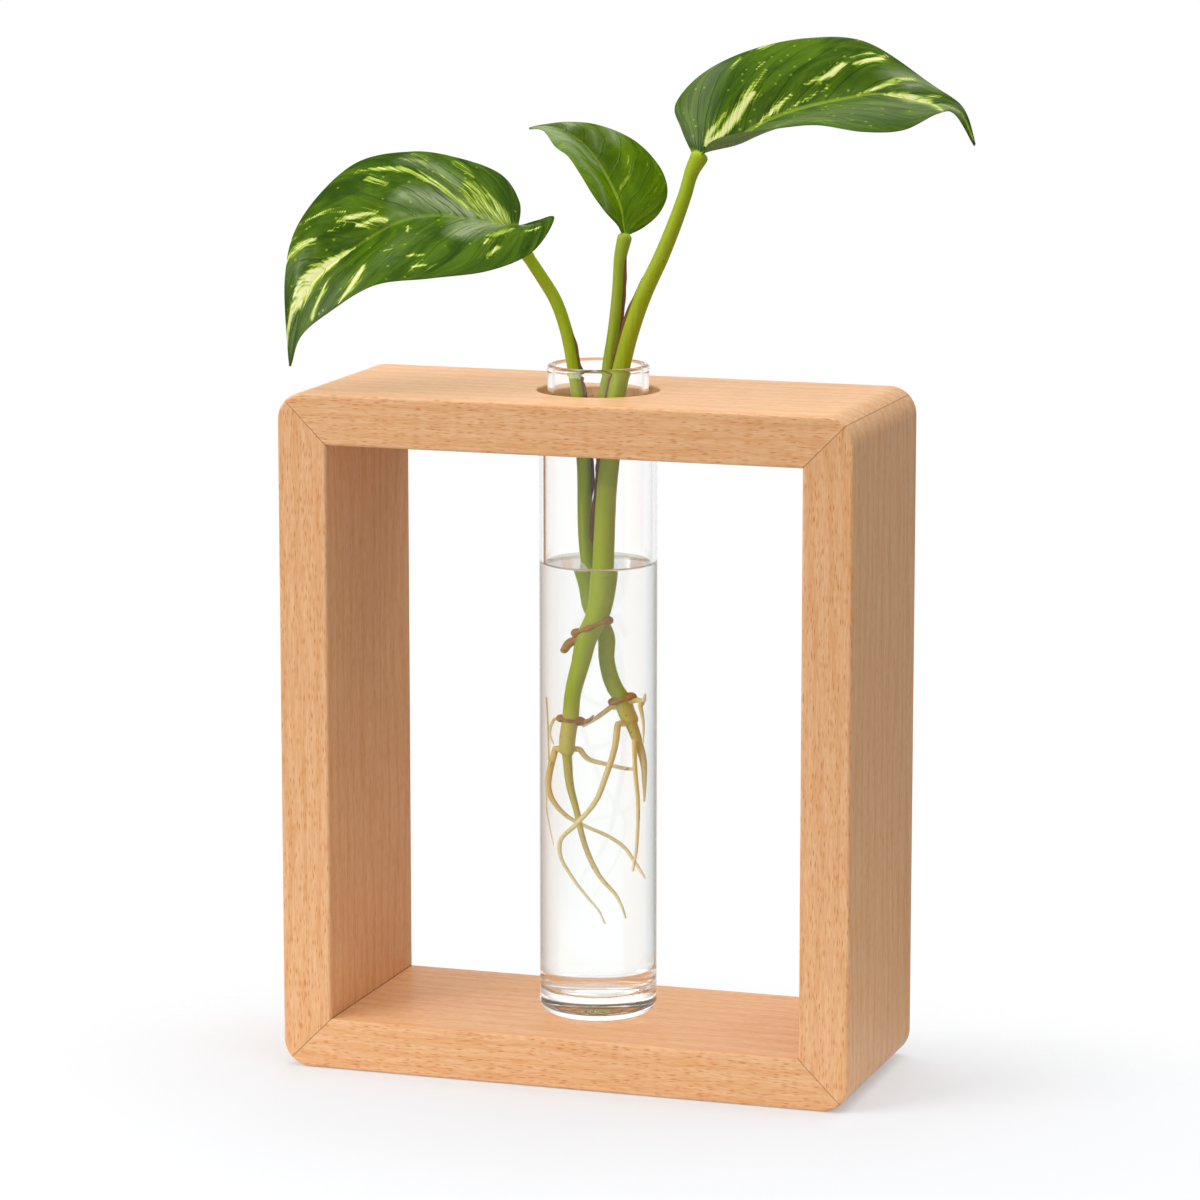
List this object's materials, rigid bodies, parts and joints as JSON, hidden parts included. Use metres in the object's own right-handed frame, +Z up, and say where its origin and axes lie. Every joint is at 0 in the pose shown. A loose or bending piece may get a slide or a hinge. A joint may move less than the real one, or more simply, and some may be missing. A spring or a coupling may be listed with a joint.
{
  "type": "propagation vase",
  "caption": "Mitred wooden frame that stands a clear glass tube upright, with water and rooted leaf cuttings in it, for growing and showing cuttings on a desk.",
  "frame": {"origin": "centre of the foot's underside", "axes": "+Z up, X along the frame's width, the front faces -Y"},
  "size_m": [0.1708, 0.0617, 0.2622],
  "materials": {
    "beech": "oiled, satin",
    "pressed_beech": "raw",
    "clear_glass": "polished",
    "water": "liquid",
    "leaf": "waxy leaf, variegated",
    "stalk": "waxy stem",
    "root": "wet root",
    "husk": "dried husk"
  },
  "bodies": {
    "stand": {"top_rail": "beech", "bottom_rail": "beech", "left_stile": "beech", "right_stile": "beech", "top_left_biscuit": "pressed_beech", "top_right_biscuit": "pressed_beech", "bottom_left_biscuit": "pressed_beech", "bottom_right_biscuit": "pressed_beech"},
    "tube": {"glass_tube": "clear_glass", "water": "water"},
    "cutting": {"left_leaf": "leaf", "middle_leaf": "leaf", "right_leaf": "leaf", "left_petiole": "stalk", "middle_petiole": "stalk", "right_petiole": "stalk", "left_sheath": "husk", "middle_sheath": "husk", "right_sheath": "husk", "front_stem": "stalk", "rear_stem": "stalk", "upper_node_ring": "husk", "front_node_ring": "husk", "rear_node_ring": "husk", "node_bract": "husk", "aerial_root": "root", "rear_root_1": "root", "rear_root_2": "root", "rear_root_3": "root", "rear_root_4": "root", "rear_root_5": "root", "rear_root_6": "root", "front_root_1": "root", "front_root_2": "root", "front_root_3": "root", "front_root_4": "root", "front_root_5": "root", "front_root_6": "root", "front_root_7": "root"}
  },
  "joints": [
    {"name": "tube_lift", "type": "slide", "parent": "stand", "child": "tube", "axis": [0, 0, 1], "range_m": [0, 0.165]},
    {"name": "cutting_lift", "type": "slide", "parent": "tube", "child": "cutting", "axis": [0, 0, 1], "range_m": [0, 0.15]}
  ]
}
